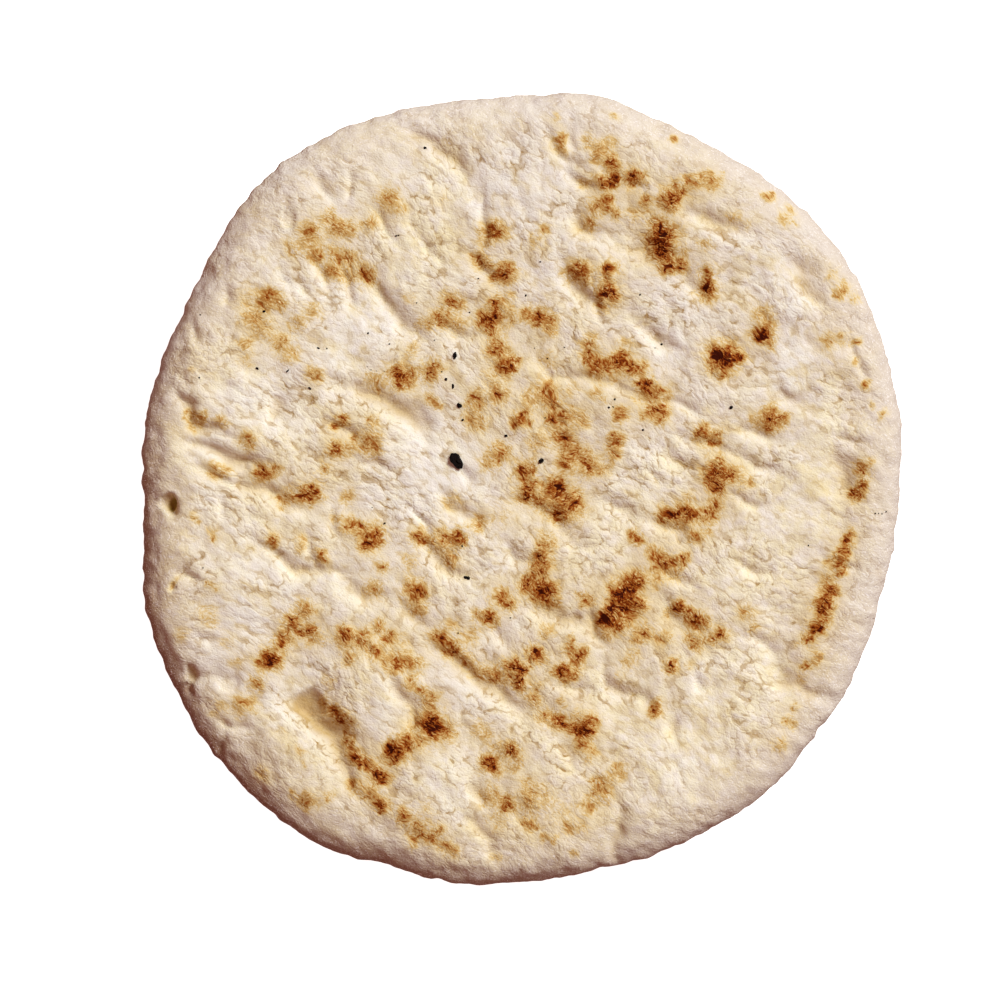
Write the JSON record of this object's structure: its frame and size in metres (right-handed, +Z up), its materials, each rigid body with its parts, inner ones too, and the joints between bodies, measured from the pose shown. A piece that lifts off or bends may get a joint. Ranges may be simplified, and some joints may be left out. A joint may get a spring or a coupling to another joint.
{
  "type": "pita bread",
  "caption": "Round, thick, pocketless flatbread with an uneven blistered top, rounded rim and a flat underside that it lies on.",
  "frame": {"origin": "middle of the loaf's outline, on the plane it rests on", "axes": "+Z up through the browned top, +Y along the loaf's longest diameter, +X along its shorter one"},
  "size_m": [0.1896, 0.1978, 0.0137],
  "materials": {
    "crust": "floury cream baked crust with gold to dark brown scorch marks"
  },
  "bodies": {
    "root": {"bread": "crust"}
  },
  "joints": []
}
